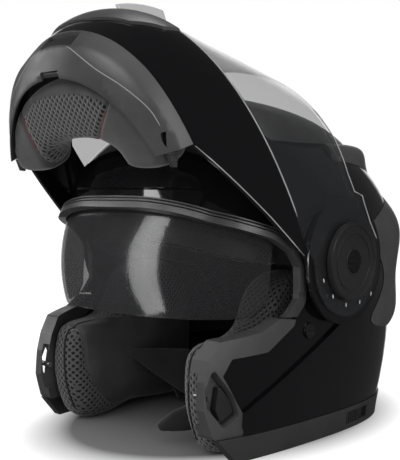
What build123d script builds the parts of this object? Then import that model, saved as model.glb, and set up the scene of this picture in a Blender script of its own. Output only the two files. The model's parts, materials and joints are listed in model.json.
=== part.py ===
# Modular motorcycle helmet with its chin bar swung up, modelled at real size in millimetres.
# The face looks along -Y, the wearer's left is +X, +Z is up, and Z 0 is the rim it stands on.
from build123d import *
import os

os.makedirs("parts", exist_ok=True)

# Driving dimensions of the shell
shell_height = 250.0
shell_half_width = 117.0
shell_front_reach = 190.0
shell_rear_reach = 148.0
shell_wall = 5.0
recess_depth = 2.5
base_trim_height = 17.5
base_trim_band = 6.0

# Driving dimensions of the swinging front
face_half_width = 124.5
face_reach = 214.0
bar_wall = 3.4
shield_wall = 2.4
pivot_height = 132.0
raise_angle = 67.0

# Fits and shop values
clearance = 0.3
running_clearance = 0.05
bond_gap = 0.02
overrun = 10.0
reach = 2 * (shell_half_width + shell_rear_reach)

# Outlines of the shell, level by level: height, half width, rear reach and front reach as
# shares of the shell's sizes, and how square the outline is
shell_level_shares = (
    (0.0, 0.889, 0.824, 1.0, 3.0),
    (0.1, 0.919, 0.885, 0.93, 2.9),
    (0.22, 0.957, 0.932, 0.87, 2.8),
    (0.36, 0.991, 0.973, 0.805, 2.6),
    (0.528, 1.0, 1.0, 0.737, 2.55),
    (0.68, 0.957, 0.953, 0.642, 2.7),
    (0.8, 0.846, 0.824, 0.571, 2.6),
    (0.9, 0.667, 0.642, 0.453, 2.45),
    (0.964, 0.444, 0.432, 0.305, 2.3),
    (0.992, 0.205, 0.2, 0.137, 2.1),
    (1.0, 0.051, 0.051, 0.034, 2.0),
)

# Outlines of the shut chin bar and face shield, as shares of the face sizes
face_level_shares = (
    (0.0, 0.8, 0.7, 0.86, 2.3),
    (0.08, 0.839, 0.7, 0.916, 2.3),
    (0.16, 0.879, 0.7, 0.963, 2.3),
    (0.24, 0.911, 0.7, 0.995, 2.3),
    (0.32, 0.944, 0.7, 1.0, 2.3),
    (0.38, 0.974, 0.7, 0.972, 2.3),
    (0.44, 0.99, 0.7, 0.916, 2.3),
    (0.528, 1.0, 0.7, 0.832, 2.3),
    (0.6, 0.995, 0.7, 0.766, 2.3),
    (0.7, 0.95, 0.65, 0.678, 2.3),
    (0.8, 0.86, 0.6, 0.57, 2.3),
)

# Outlines of the rear spoiler, the crown vent, the room for the head, and the sloping
# underside of the chin bar, in the same shares
spoiler_level_shares = (
    (0.27, 0.9, 0.86, 0.5, 2.7),
    (0.31, 0.972, 0.975, 0.5, 3.0),
    (0.4, 0.976, 0.98, 0.5, 3.2),
    (0.5, 0.976, 0.978, 0.5, 3.3),
    (0.6, 0.98, 0.99, 0.5, 3.4),
    (0.7, 0.91, 0.95, 0.5, 3.0),
    (0.8, 0.82, 0.845, 0.45, 2.8),
    (0.88, 0.66, 0.68, 0.4, 2.5),
)
crown_level_shares = (
    (0.8, 0.82, 0.79, 0.43, 2.4),
    (0.86, 0.775, 0.73, 0.4, 2.4),
    (0.92, 0.66, 0.62, 0.36, 2.4),
    (0.97, 0.5, 0.48, 0.29, 2.3),
    (1.0, 0.35, 0.34, 0.21, 2.1),
    (1.02, 0.2, 0.2, 0.13, 2.0),
    (1.028, 0.05, 0.05, 0.03, 2.0),
)
head_level_shares = (
    (-0.04, 0.72, 0.66, 0.5, 2.2),
    (0.16, 0.68, 0.7, 0.53, 2.2),
    (0.36, 0.675, 0.74, 0.54, 2.2),
    (0.56, 0.68, 0.76, 0.54, 2.2),
    (0.7, 0.65, 0.74, 0.47, 2.2),
    (0.78, 0.57, 0.66, 0.38, 2.2),
    (0.83, 0.46, 0.54, 0.28, 2.1),
    (0.86, 0.3, 0.36, 0.16, 2.0),
    (0.872, 0.08, 0.1, 0.05, 2.0),
)
underside_level_shares = (
    (0.088, 0.79, 0.5, 0.88, 2.3),
    (0.136, 0.875, 0.5, 0.972, 2.3),
    (0.26, 1.2, 0.5, 1.2, 2.3),
)
shell_sizes = (shell_height, shell_half_width, shell_rear_reach, shell_front_reach)
face_sizes = (shell_height, face_half_width, shell_rear_reach, face_reach)

# Side view outlines, as shares of the shell's height: how far back, how far up
front_void_shares = (
    (-1.1, -0.1), (-1.1, 0.688), (-0.48, 0.688), (-0.416, 0.65), (-0.272, 0.602),
    (-0.212, 0.562), (-0.188, 0.52), (-0.188, 0.432), (-0.224, 0.392), (-0.312, 0.348),
    (-0.424, 0.332), (-0.462, 0.284), (-0.478, 0.228), (-0.482, 0.152), (-0.458, 0.08),
    (-0.384, 0.0), (-0.384, -0.1),
)
gloss_front_shares = (
    (-1.1, 0.07), (-1.1, 0.706), (-0.48, 0.706), (-0.416, 0.668), (-0.264, 0.618),
    (-0.2, 0.574), (-0.17, 0.525), (-0.17, 0.42), (-0.196, 0.356), (-0.288, 0.292),
    (-0.4, 0.284), (-0.428, 0.24), (-0.388, 0.168), (-0.364, 0.132), (-0.364, 0.096),
    (-0.352, 0.07),
)
recess_shares = (
    (-0.6, 0.004), (0.04, 0.36), (0.16, 0.38), (0.224, 0.472), (0.23, 0.56),
    (0.18, 0.688), (0.04, 0.72), (-0.24, 0.736), (-0.44, 0.744), (-0.6, 0.744),
)
jaw_shares = ((-0.6, 0.0705), (-0.6, 0.43), (-0.18, 0.372), (-0.18, 0.0705))
seal_end_shares = ((-1.1, 0.44), (-1.1, 0.9), (0.0, 0.9), (0.0, 0.31), (-0.17, 0.38))
rib_end_shares = ((-1.1, 0.56), (-1.1, 0.9), (0.0, 0.9), (0.0, 0.56))
bar_skin_shares = (
    (-1.1, 0.2), (-1.1, 0.373), (-0.1, 0.373), (-0.06, 0.379), (-0.06, 0.3725), (-0.244, 0.295),
    (-0.506, 0.17), (-0.7, 0.186),
)
lip_shares = ((-1.1, 0.05), (-1.1, 0.2), (-0.7, 0.186), (-0.506, 0.17), (-0.506, 0.05))
bar_rim_shares = (
    (-1.1, 0.366), (-0.09, 0.366), (-0.02, 0.39), (-0.02, 0.66), (-0.1, 0.66),
    (-0.16, 0.56), (-0.29, 0.464), (-0.44, 0.398), (-1.1, 0.398),
)
shield_shares = (
    (-1.1, 0.3745), (-0.096, 0.3745), (-0.02, 0.39), (0.0, 0.685), (-0.052, 0.674),
    (-0.136, 0.664), (-0.216, 0.668), (-0.316, 0.706), (-0.48, 0.732), (-1.1, 0.744),
)
bar_foam_shares = ((-1.1, 0.155), (-1.1, 0.355), (-0.52, 0.34), (-0.52, 0.18), (-0.7, 0.155))
cheek_room_shares = ((-0.6, -0.1), (-0.6, 0.52), (0.14, 0.52), (0.18, 0.3), (0.18, -0.1))
cheek_carrier_shares = (
    (-0.33, 0.075), (-0.33, 0.27), (-0.2, 0.335), (-0.15, 0.44), (0.1, 0.44), (0.12, 0.3),
    (0.12, 0.075),
)
pocket_shares = (
    (-0.452, 0.262), (-0.398, 0.184), (-0.376, 0.128), (-0.424, 0.098), (-0.474, 0.16),
    (-0.478, 0.208),
)
flap_shares = ((-0.43, 0.215), (-0.398, 0.17), (-0.386, 0.138), (-0.424, 0.114), (-0.44, 0.15))

# The fixed frame, and the frame of the front that has been swung up about its pivots
fixed = Location((0, 0, 0))
raised = (
    Location((0, 0, pivot_height))
    * Location((0, 0, 0), (-raise_angle, 0, 0))
    * Location((0, 0, -pivot_height))
)


def placed(frame, plane):
    """A plane carried along with a frame."""
    return Plane(frame * plane.location)


def keep(piece, name):
    """Name a finished piece and write it out."""
    piece.part.label = name
    export_step(piece.part, f"parts/{name}.step")


def side_point(shares):
    """A place in the side view from its shares of the shell's height."""
    return shares[0] * shell_height, shares[1] * shell_height


def level_form(rows, sizes, inset=0.0, frame=fixed, lift=0.0):
    """A form lofted through its levels, drawn in all round by inset and raised by lift."""
    height, half_width, rear, front = sizes
    with BuildPart(mode=Mode.PRIVATE) as form:
        for level, side_share, rear_share, front_share, squareness in rows:
            rise = level * height + lift
            if level == 0:
                rise = -overrun
            if level == rows[-1][0]:
                rise -= inset
            side = max(side_share * half_width - inset, side_share * half_width / 2)
            back = max(rear_share * rear - inset, rear_share * rear / 2)
            fore = max(front_share * front - inset, front_share * front / 2)
            handle = (8 / 2 ** (1 / squareness) - 4) / 3
            with BuildSketch(placed(frame, Plane.XY.offset(rise))):
                with BuildLine():
                    for turn, depth in ((1, back), (-1, -fore)):
                        Bezier(
                            (turn * side, 0),
                            (turn * side, handle * depth),
                            (turn * handle * side, depth),
                            (0, depth),
                        )
                        Bezier(
                            (0, depth),
                            (-turn * handle * side, depth),
                            (-turn * side, handle * depth),
                            (-turn * side, 0),
                        )
                make_face()
        loft()
    return form.part


def shell_form(inset=0.0):
    """The shell's outside, drawn in by inset."""
    return level_form(shell_level_shares, shell_sizes, inset)


def face_form(inset=0.0):
    """The outside of the chin bar and shield, swung up and drawn in by inset."""
    return level_form(face_level_shares, face_sizes, inset, raised)


def side_prism(shares, frame=fixed, rounding=0.0, grow=0.0):
    """A prism through the whole width from a side view outline in shares of the height."""
    with BuildPart(mode=Mode.PRIVATE) as prism:
        with BuildSketch(placed(frame, Plane.YZ)) as outline:
            with BuildLine():
                Polyline(*[side_point(share) for share in shares], close=True)
            make_face()
            if rounding:
                fillet(outline.vertices(), rounding)
            if grow:
                offset(amount=grow)
        extrude(amount=reach, both=True)
    return prism.part


def side_disc(radius, near, far, frame=fixed, centre=(0, pivot_height), sides=(1, -1)):
    """Discs square to the hinge axis, one on each side, from near to far."""
    with BuildPart(mode=Mode.PRIVATE) as discs:
        for side in sides:
            with BuildSketch(placed(frame, Plane.YZ.offset(side * near))):
                with Locations(centre):
                    Circle(radius)
            extrude(amount=side * (far - near))
    return discs.part


def block(x_range, y_range, z_range, frame=fixed):
    """A plain box between two corners."""
    (x0, x1), (y0, y1), (z0, z1) = x_range, y_range, z_range
    with BuildPart(mode=Mode.PRIVATE) as solid:
        with BuildSketch(placed(frame, Plane.XY.offset(z0))):
            with Locations(((x0 + x1) / 2, (y0 + y1) / 2)):
                Rectangle(abs(x1 - x0), abs(y1 - y0))
        extrude(amount=z1 - z0)
    return solid.part


def grown(span, gap=clearance):
    """A span widened by a gap at both ends."""
    return min(span) - gap, max(span) + gap


def hand_half(side):
    """The half of space on the wearer's left (1) or right (-1)."""
    across = (0, reach) if side > 0 else (-reach, 0)
    return block(across, (-reach, reach), (-reach, reach))


def front_prism(points, frame=fixed):
    """A prism running forward from a front view outline of across and up."""
    with BuildPart(mode=Mode.PRIVATE) as prism:
        with BuildSketch(placed(frame, Plane.XZ)):
            with BuildLine():
                Polyline(*points, close=True)
            make_face()
        extrude(amount=reach)
    return prism.part


def layer(outer, inner, *bounds):
    """What lies between two forms, inside every bound."""
    with BuildPart(mode=Mode.PRIVATE) as skin:
        add(outer)
        add(inner, mode=Mode.SUBTRACT)
        for bound in bounds:
            add(bound, mode=Mode.INTERSECT)
    return skin.part


# Where the layers lie across the hinges
plate_thickness = 3.7
bar_plate_thickness = 2.7
shield_disc_thickness = 2.5
cover_thickness = 3.4
plate_seat = shell_half_width - recess_depth + clearance
plate_face = plate_seat + plate_thickness
bar_plate_back = plate_face + clearance
bar_plate_face = bar_plate_back + bar_plate_thickness
shield_back = bar_plate_face + clearance
shield_face = shield_back + shield_disc_thickness
cover_back = shield_face + clearance
cover_face = cover_back + cover_thickness
hinge_plate_radius = 40.0
bar_disc_radius = 46.0
shield_disc_radius = 49.0
shield_end_radius = 40.0
boss_radius = 7.0
cover_radius = 28.5
hub_radius = 8.2

# Forms shared by several pieces
trim_depth = 13.0
fabric_thickness = 7.0
outline_rounding = 2.0
shell_outer = shell_form()
shell_recessed = shell_form(recess_depth)
shell_inner = shell_form(shell_wall)
shell_clear = shell_form(-clearance)
shell_liner_seat = shell_form(shell_wall + clearance)
shell_oversize = shell_form(-overrun)
trim_inner = shell_form(trim_depth)
head_room = level_form(head_level_shares, shell_sizes)
head_padded = level_form(head_level_shares, shell_sizes, -fabric_thickness)
head_foam = level_form(head_level_shares, shell_sizes, -fabric_thickness - clearance)
front_void = side_prism(front_void_shares, rounding=outline_rounding)
gloss_front = side_prism(gloss_front_shares, rounding=outline_rounding)

# Painted outer shell with its recessed side panels and the cut-out for the face
skirt_width = 8.8
recess_rounding = 4.0
rivet_radius = 5.5
rivet_place = side_point((-0.128, 0.336))
recess = layer(
    shell_oversize, shell_recessed, side_prism(recess_shares, rounding=recess_rounding)
)
with BuildPart() as outer_shell:
    add(shell_outer)
    add(shell_inner, mode=Mode.SUBTRACT)
    add(recess, mode=Mode.SUBTRACT)
    add(gloss_front, mode=Mode.SUBTRACT)
    add(side_prism(front_void_shares, grow=skirt_width + clearance), mode=Mode.SUBTRACT)
    add(side_disc(rivet_radius + clearance, 0, reach, centre=rivet_place), mode=Mode.SUBTRACT)
    add(side_disc(hinge_plate_radius + clearance, plate_seat, reach), mode=Mode.SUBTRACT)
    split(bisect_by=Plane.XY.offset(base_trim_height), keep=Keep.TOP)
keep(outer_shell, "outer_shell")

# Rim trim round the foot of the shell, with the track of the sun visor's slider
trim_proud = 1.0
track_depth = 2.5
slider_inset = 1.5
slider_span = (25.0, 43.0)
slider_rise = (4.5, 13.0)
slider_travel = 14.0
slider_track = layer(
    shell_oversize,
    shell_form(track_depth),
    block((0, reach), (min(slider_span) - clearance, max(slider_span) + slider_travel + clearance),
          grown(slider_rise)),
)
with BuildPart() as base_trim:
    add(shell_form(-trim_proud))
    add(shell_form(base_trim_band), mode=Mode.SUBTRACT)
    add(front_void, mode=Mode.SUBTRACT)
    add(slider_track, mode=Mode.SUBTRACT)
    split(bisect_by=Plane.XY, keep=Keep.TOP)
    split(bisect_by=Plane.XY.offset(base_trim_height - clearance), keep=Keep.BOTTOM)
keep(base_trim, "base_trim")
grip_pitch, grip_width, grip_depth = 3.0, 1.2, 0.8
grip_count = 5
with BuildPart() as visor_slider:
    add(
        layer(
            shell_form(-trim_proud), shell_form(slider_inset),
            block((0, reach), slider_span, slider_rise),
        )
    )
    for grip in range(grip_count):
        middle = sum(slider_span) / 2 + (grip - (grip_count - 1) / 2) * grip_pitch
        span = (middle - grip_width / 2, middle + grip_width / 2)
        add(
            layer(shell_oversize, shell_form(grip_depth - trim_proud),
                  block((0, reach), span, slider_rise)),
            mode=Mode.SUBTRACT,
        )
keep(visor_slider, "visor_slider")


def void_ring(near, far, rise, depth, end_shares):
    """A ring of seal round the eye port, from near to far outside its edge."""
    inside = side_prism(front_void_shares, rounding=outline_rounding, grow=near)
    outside = side_prism(front_void_shares, rounding=outline_rounding, grow=far)
    return layer(
        shell_form(-rise), shell_form(depth), outside, layer(outside, inside), side_prism(end_shares)
    )


# Rubber seal round the brow and sides of the eye port: a skirt, a thick bead and two fine ribs
bead_width, bead_rise, bead_drop = 4.2, 1.0, 0.4
rib_width, rib_rise = 1.0, 0.8
rib_starts = (5.2, 7.4)
skirt_drop = 1.2
bead_end_shares = ((-1.1, 0.45), (-1.1, 0.9), (0.0, 0.9), (0.0, 0.45))
with BuildPart() as eye_port_seal:
    add(void_ring(0, skirt_width, -skirt_drop, shell_wall, seal_end_shares))
    add(void_ring(0, bead_width, -bead_drop, shell_wall / 2, seal_end_shares))
    add(void_ring(0, bead_width, bead_rise, shell_wall / 2, bead_end_shares))
    for start in rib_starts:
        add(void_ring(start, start + rib_width, rib_rise, shell_wall / 2, rib_end_shares))
keep(eye_port_seal, "eye_port_seal")

# Jaw trims with their latch pockets, the striker pins across them and the pocket flaps
jaw_inset = 1.5
pin_radius = 2.0
pin_span = (79.2, 92.0)
pin_place = side_point((-0.462, 0.184))
hook_slot_span = (77.0, 84.5)
hook_slot_start, hook_slot_end = side_point((-0.52, 0.11)), side_point((-0.42, 0.25))
pocket_depth = 9.0
flap_seat, flap_wall, flap_rounding = 4.5, 4.2, 1.0
jaw_ring = layer(gloss_front, front_void, side_prism(jaw_shares))
pocket = layer(
    shell_oversize, shell_form(pocket_depth), side_prism(pocket_shares, rounding=outline_rounding)
)
flap_band = layer(
    shell_form(flap_seat), shell_form(flap_seat + flap_wall),
    side_prism(flap_shares, rounding=flap_rounding),
)
for side, hand in ((1, "left"), (-1, "right")):
    half = hand_half(side)
    hook_slot = block(
        [side * place for place in hook_slot_span],
        (hook_slot_start[0], hook_slot_end[0]),
        (hook_slot_start[1], hook_slot_end[1]),
    )
    with BuildPart() as jaw_trim:
        add(layer(shell_form(jaw_inset), trim_inner, jaw_ring, half))
        add(pocket, mode=Mode.SUBTRACT)
        add(hook_slot, mode=Mode.SUBTRACT)
        add(
            side_disc(pin_radius + running_clearance, *pin_span, centre=pin_place, sides=(side,)),
            mode=Mode.SUBTRACT,
        )
    keep(jaw_trim, f"jaw_trim_{hand}")
    with BuildPart() as latch_cover:
        add(layer(flap_band, hand_half(-side)))
    keep(latch_cover, f"latch_cover_{hand}")
    with BuildPart() as latch_striker:
        add(side_disc(pin_radius, *pin_span, centre=pin_place, sides=(side,)))
    keep(latch_striker, f"latch_striker_{hand}")

# Rivets that hold the chin strap, low enough for the arms of the chin bar to pass
rivet_face_drop, rivet_length = 3.7, 3.3
rivet_face = shell_half_width - rivet_face_drop
with BuildPart() as strap_rivets:
    add(side_disc(rivet_radius, rivet_face - rivet_length, rivet_face, centre=rivet_place))
keep(strap_rivets, "strap_rivets")

# Rear spoiler, rising smoothly out of the shell behind the hinges
spoiler_wall = 3.0
spoiler_start_share = 0.08
spoiler_form = level_form(spoiler_level_shares, shell_sizes)
with BuildPart() as rear_spoiler:
    add(layer(spoiler_form, level_form(spoiler_level_shares, shell_sizes, spoiler_wall)))
    add(shell_clear, mode=Mode.SUBTRACT)
    add(side_disc(bar_disc_radius, 0, reach), mode=Mode.SUBTRACT)
    split(bisect_by=Plane.XZ.offset(-spoiler_start_share * shell_height), keep=Keep.BOTTOM)
keep(rear_spoiler, "rear_spoiler")

# Exhaust vent low on the back, with a row of slots
vent_proud = 2.6
vent_half_width = 34.0
vent_rise = (42.0, 57.0)
vent_frame = 3.0
vent_slots, vent_pitch, vent_slot_width = 7, 9.0, 5.0
with BuildPart() as rear_vent:
    add(
        layer(
            shell_form(-vent_proud), shell_clear,
            block((-vent_half_width, vent_half_width), (0, reach), vent_rise),
        )
    )
    for slot in range(vent_slots):
        middle = (slot - (vent_slots - 1) / 2) * vent_pitch
        span = (middle - vent_slot_width / 2, middle + vent_slot_width / 2)
        add(block(span, (0, reach), grown(vent_rise, -vent_frame)), mode=Mode.SUBTRACT)
keep(rear_vent, "rear_vent")

# Crown vent with its slider in a well
knob_width, knob_length, knob_height, knob_travel = 26.0, 13.0, 3.2, 9.0
knob_start = 0.04 * shell_height
well_floor = 1.012 * shell_height
with BuildPart() as crown_vent:
    add(level_form(crown_level_shares, shell_sizes))
    add(shell_clear, mode=Mode.SUBTRACT)
    add(spoiler_form, mode=Mode.SUBTRACT)
    add(
        block(
            grown((-knob_width / 2, knob_width / 2)),
            grown((knob_start, knob_start + knob_length + knob_travel)),
            (well_floor, well_floor + overrun),
        ),
        mode=Mode.SUBTRACT,
    )
keep(crown_vent, "crown_vent")
with BuildPart() as crown_vent_slider:
    with BuildSketch(Plane.XY.offset(well_floor + clearance)):
        with Locations((0, knob_start + knob_length / 2)):
            RectangleRounded(knob_width, knob_length, knob_length / 4)
    extrude(amount=knob_height)
    fillet(crown_vent_slider.faces().sort_by(Axis.Z)[-1].edges(), knob_height / 3)
keep(crown_vent_slider, "crown_vent_slider")

# Hinge plates with their bosses, and the ringed covers screwed to them
cover_ring_radii = (27.6, 21.5, 9.6)
cover_ring_width, cover_ring_rise = 1.2, 0.5
hub_floor = cover_back + cover_thickness / 3
screw_rise = 0.6
for side, hand in ((1, "left"), (-1, "right")):
    with BuildPart() as hinge_plate:
        add(side_disc(hinge_plate_radius, plate_seat, plate_face, sides=(side,)))
        add(side_disc(boss_radius, plate_seat, cover_back, sides=(side,)))
    keep(hinge_plate, f"hinge_plate_{hand}")
    with BuildPart() as pivot_cover:
        add(side_disc(cover_radius, cover_back, cover_face, sides=(side,)))
        for radius in cover_ring_radii:
            ring_top = cover_face + cover_ring_rise
            add(
                layer(
                    side_disc(radius, cover_face, ring_top, sides=(side,)),
                    side_disc(radius - cover_ring_width, cover_face, ring_top, sides=(side,)),
                )
            )
        add(side_disc(hub_radius, hub_floor, reach, sides=(side,)), mode=Mode.SUBTRACT)
    keep(pivot_cover, f"pivot_cover_{hand}")
with BuildPart() as pivot_screws:
    add(side_disc(hub_radius - clearance, hub_floor, cover_face + screw_rise))
keep(pivot_screws, "pivot_screws")

# Chin bar: painted skin, rim behind the shield and flat hinge plates, in one moulding
rim_inset, rim_wall = 3.1, 2.6
arm_room_margin = 9.0
arm_room = side_disc(bar_disc_radius + arm_room_margin, 0, bar_plate_back, raised)
boss_hole = side_disc(boss_radius + running_clearance, 0, reach, raised)
face_outer = face_form()
face_bar_inner = face_form(bar_wall)
bar_skin_side = side_prism(bar_skin_shares, raised)
rim_pare_radius, rim_pare_depth = 70.0, 8.6
rim_side = side_prism(bar_rim_shares, raised)
rim_pare = side_disc(rim_pare_radius, face_half_width - rim_pare_depth, reach, raised)
with BuildPart() as bar_rim:
    add(layer(face_form(rim_inset), face_form(rim_inset + rim_wall), rim_side))
    add(rim_pare, mode=Mode.SUBTRACT)
with BuildPart() as chin_bar_shell:
    add(layer(face_outer, face_bar_inner, bar_skin_side))
    add(bar_rim.part)
    add(arm_room, mode=Mode.SUBTRACT)
    add(side_disc(bar_disc_radius, bar_plate_back, bar_plate_face, raised))
    add(boss_hole, mode=Mode.SUBTRACT)
keep(chin_bar_shell, "chin_bar_shell")

# Room inside the chin bar for the pad, the hooks, the vent and the release button
pad_room_side, pad_room_front = 8.0, 14.0
pad_room_sizes = (
    shell_height, face_half_width - pad_room_side, shell_rear_reach, face_reach - pad_room_front
)
pad_room = level_form(face_level_shares, pad_room_sizes, 0, raised)
lip_half_width = 17.0
mouth_foot, mouth_top = 0.136 * shell_height, 0.186 * shell_height
mouth_back = -0.6 * face_reach
vent_mouth = block(
    (-lip_half_width, lip_half_width), (-reach, mouth_back), (mouth_foot, mouth_top), raised
)
button_half_width, button_depth, button_height, button_gap = 9.0, 4.0, 9.0, 0.5
button_front, button_foot = -0.885 * face_reach, 0.094 * shell_height
button_well = block(
    grown((-button_half_width, button_half_width)),
    (button_front, -face_reach / 2),
    (0, 0.145 * shell_height),
    raised,
)
hook_span = (80.4, 83.4)
hook_gap, hook_room_radius = 0.7, 16.0
hook_pivot = side_point((-0.532, 0.176))
hook_room_shares = ((-0.558, 0.0), (-0.558, 0.3), (-0.4, 0.3), (-0.4, 0.0))
with BuildPart() as hook_room:
    add(
        side_disc(
            hook_room_radius, min(hook_span) - hook_gap, max(hook_span) + hook_gap,
            raised, hook_pivot,
        )
    )
    add(side_prism(hook_room_shares, raised), mode=Mode.INTERSECT)

# Satin lip under the skin, folded in below, with the vent mouth through its front
lip_floor_wall, lip_floor_lift = 2.5, 3.2
with BuildPart() as lip_hollow:
    add(face_bar_inner)
    add(
        level_form(underside_level_shares, face_sizes, lip_floor_wall, raised, lip_floor_lift),
        mode=Mode.INTERSECT,
    )
with BuildPart() as chin_lip:
    add(face_form(-trim_proud))
    add(level_form(underside_level_shares, face_sizes, 0, raised), mode=Mode.INTERSECT)
    add(lip_hollow.part, mode=Mode.SUBTRACT)
    add(pad_room, mode=Mode.SUBTRACT)
    add(side_prism(lip_shares, raised), mode=Mode.INTERSECT)
    add(vent_mouth, mode=Mode.SUBTRACT)
    add(button_well, mode=Mode.SUBTRACT)
    add(hook_room.part, mode=Mode.SUBTRACT)
keep(chin_lip, "chin_lip")

# Vent shutter, which slides up inside the mouth
shutter_height, shutter_inset, shutter_wall = 8.2, 0.4, 2.2
shutter_room = block(
    grown((-lip_half_width, lip_half_width), -clearance),
    (-reach, mouth_back),
    (mouth_foot + clearance, mouth_foot + clearance + shutter_height),
    raised,
)
with BuildPart() as chin_vent_shutter:
    add(layer(face_form(shutter_inset), face_form(shutter_inset + shutter_wall), shutter_room))
keep(chin_vent_shutter, "chin_vent_shutter")

# Satin centre trim above the lip
top_trim_thickness = 2.2
top_trim_shares = (
    (-0.498, 0.396), (-0.466, 0.328), (-0.345, 0.272), (-0.112, 0.244),
    (0.112, 0.244), (0.345, 0.272), (0.466, 0.328), (0.498, 0.396),
)
top_trim_outline = [(x * face_half_width, z * shell_height) for x, z in top_trim_shares]
with BuildPart() as bar_top_trim:
    add(
        layer(
            face_form(-top_trim_thickness), face_form(-bond_gap),
            front_prism(top_trim_outline, raised), bar_skin_side,
        )
    )
keep(bar_top_trim, "bar_top_trim")

# Foam in the chin bar, and the arched chin pad against it
bar_foam_gap = 0.4
with BuildPart() as chin_bar_foam:
    add(
        layer(face_form(bar_wall + bar_foam_gap), pad_room, side_prism(bar_foam_shares, raised))
    )
    add(vent_mouth, mode=Mode.SUBTRACT)
    add(hook_room.part, mode=Mode.SUBTRACT)
keep(chin_bar_foam, "chin_bar_foam")
chin_pad_tip, chin_pad_half_width, chin_pad_front = -118.0, 78.6, 181.5
chin_pad_arch, chin_pad_apex, chin_pad_end = 42.0, 138.0, 5.0
chin_pad_foot, chin_pad_height = 24.5, 33.5
chin_pad_levels_shares = ((0.0, 0.7), (0.1, 0.25), (0.4, 0.0), (0.7, 0.14), (1.0, 1.0))
chin_pad_crown, soft_gap = 7.0, 0.3
with BuildPart() as chin_pad:
    for rise_share, draw_share in chin_pad_levels_shares:
        draw = draw_share * chin_pad_crown
        tip, wide, front = chin_pad_tip - draw, chin_pad_half_width - draw, chin_pad_front - draw
        arch, apex, end = chin_pad_arch + draw, chin_pad_apex + draw, chin_pad_tip - draw + chin_pad_end
        level = Plane.XY.offset(chin_pad_foot + rise_share * chin_pad_height)
        with BuildSketch(placed(raised, level)):
            with BuildLine():
                Bezier((wide, tip), (wide * 1.09, -front * 0.8), (wide * 0.62, -front), (0, -front))
                Bezier((0, -front), (-wide * 0.62, -front), (-wide * 1.09, -front * 0.8), (-wide, tip))
                Bezier((-wide, tip), (-wide, end), (-arch, end), (-arch, tip))
                Bezier((-arch, tip), (-arch * 0.9, -apex * 0.97), (-arch * 0.5, -apex), (0, -apex))
                Bezier((0, -apex), (arch * 0.5, -apex), (arch * 0.9, -apex * 0.97), (arch, tip))
                Bezier((arch, tip), (arch, end), (wide, end), (wide, tip))
            make_face()
    loft()
    add(level_form(face_level_shares, pad_room_sizes, soft_gap, raised), mode=Mode.INTERSECT)
keep(chin_pad, "chin_pad")

# Clear face shield with flat hinge plates, stepped out over the arms of the chin bar
step_drop, step_ring, step_gap = 1.8, 1.5, 0.5
shield_side = side_prism(shield_shares, raised)
with BuildPart() as shield_plates:
    add(side_disc(shield_disc_radius + step_ring, bar_plate_face - step_drop, shield_face, raised))
    add(side_disc(bar_disc_radius + step_gap, 0, shield_back, raised), mode=Mode.SUBTRACT)
    add(shield_side, mode=Mode.INTERSECT)
    add(side_disc(shield_end_radius, shield_back, shield_face, raised))
with BuildPart() as face_shield:
    add(layer(face_outer, face_form(shield_wall), shield_side))
    add(side_disc(shield_disc_radius, 0, reach, raised), mode=Mode.SUBTRACT)
    add(shield_plates.part)
    add(boss_hole, mode=Mode.SUBTRACT)
keep(face_shield, "face_shield")

# Lift tab on the shield's lower edge
tab_span, tab_rise, tab_reach = (4.0, 46.0), (95.0, 98.0), 8.0
with BuildPart() as shield_tab:
    add(
        layer(
            face_form(-tab_reach), face_form(-bond_gap),
            block(tab_span, (-reach, -face_reach / 2), tab_rise, raised),
        )
    )
keep(shield_tab, "shield_tab")

# Release button in the lip
with BuildPart() as release_button:
    add(
        block(
            (-button_half_width, button_half_width),
            (button_front + button_gap, button_front + button_gap + button_depth),
            (button_foot, button_foot + button_height),
            raised,
        )
    )
    fillet(release_button.edges().filter_by(Axis.X), 0.3 * button_depth)
keep(release_button, "release_button")

# Latch hooks at the ends of the chin bar, cocked open while the bar is up
hook_cock = 25.0
hook_rounding = 0.8
hook_turn = (
    Location((0, *hook_pivot))
    * Location((0, 0, 0), (-hook_cock, 0, 0))
    * Location((0, -hook_pivot[0], -hook_pivot[1]))
)
hook_shares = (
    (-0.548, 0.19), (-0.52, 0.196), (-0.492, 0.156), (-0.484, 0.168), (-0.445, 0.166),
    (-0.447, 0.152), (-0.48, 0.136), (-0.51, 0.136), (-0.548, 0.164),
)
for side, hand in ((1, "left"), (-1, "right")):
    span = [side * place for place in hook_span]
    with BuildPart() as latch_hook:
        add(side_prism(hook_shares, raised * hook_turn, rounding=hook_rounding))
        add(block(span, (-reach, reach), (-reach, reach)), mode=Mode.INTERSECT)
    keep(latch_hook, f"latch_hook_{hand}")

# Sun visor: a smoked shell that turns about its own pins inside the shell
visor_pivot = side_point((-0.056, 0.504))
visor_radius, visor_half_width, visor_wall, visor_squareness = 108.0, 106.0, 2.2, 3.0
visor_rounding = 3.0
visor_pin_radius, visor_boss_radius = 3.0, 9.0
visor_pin_proud, visor_mount_gap = 1.0, 0.8
visor_shares = (
    (-0.6, 0.376), (-0.6, 0.728), (-0.28, 0.728), (-0.12, 0.66), (-0.032, 0.54), (-0.032, 0.472),
    (-0.08, 0.472), (-0.16, 0.6), (-0.224, 0.632), (-0.248, 0.56), (-0.264, 0.42), (-0.3, 0.384),
)


def visor_form(inset):
    """Dome turned about the sun visor's pins."""
    wide, deep = visor_half_width - inset, visor_radius - inset
    handle = (8 / 2 ** (1 / visor_squareness) - 4) / 3
    back, rise = visor_pivot
    with BuildPart(mode=Mode.PRIVATE) as dome:
        with BuildSketch(Plane.XY.offset(rise)):
            with BuildLine():
                for side in (-1, 1):
                    Bezier(
                        (side * wide, back),
                        (side * wide, back - handle * deep),
                        (side * handle * wide, back - deep),
                        (0, back - deep),
                    )
                Line((wide, back), (-wide, back))
            make_face()
        revolve(axis=Axis((0, back, rise), (1, 0, 0)))
    return dome.part


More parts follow.
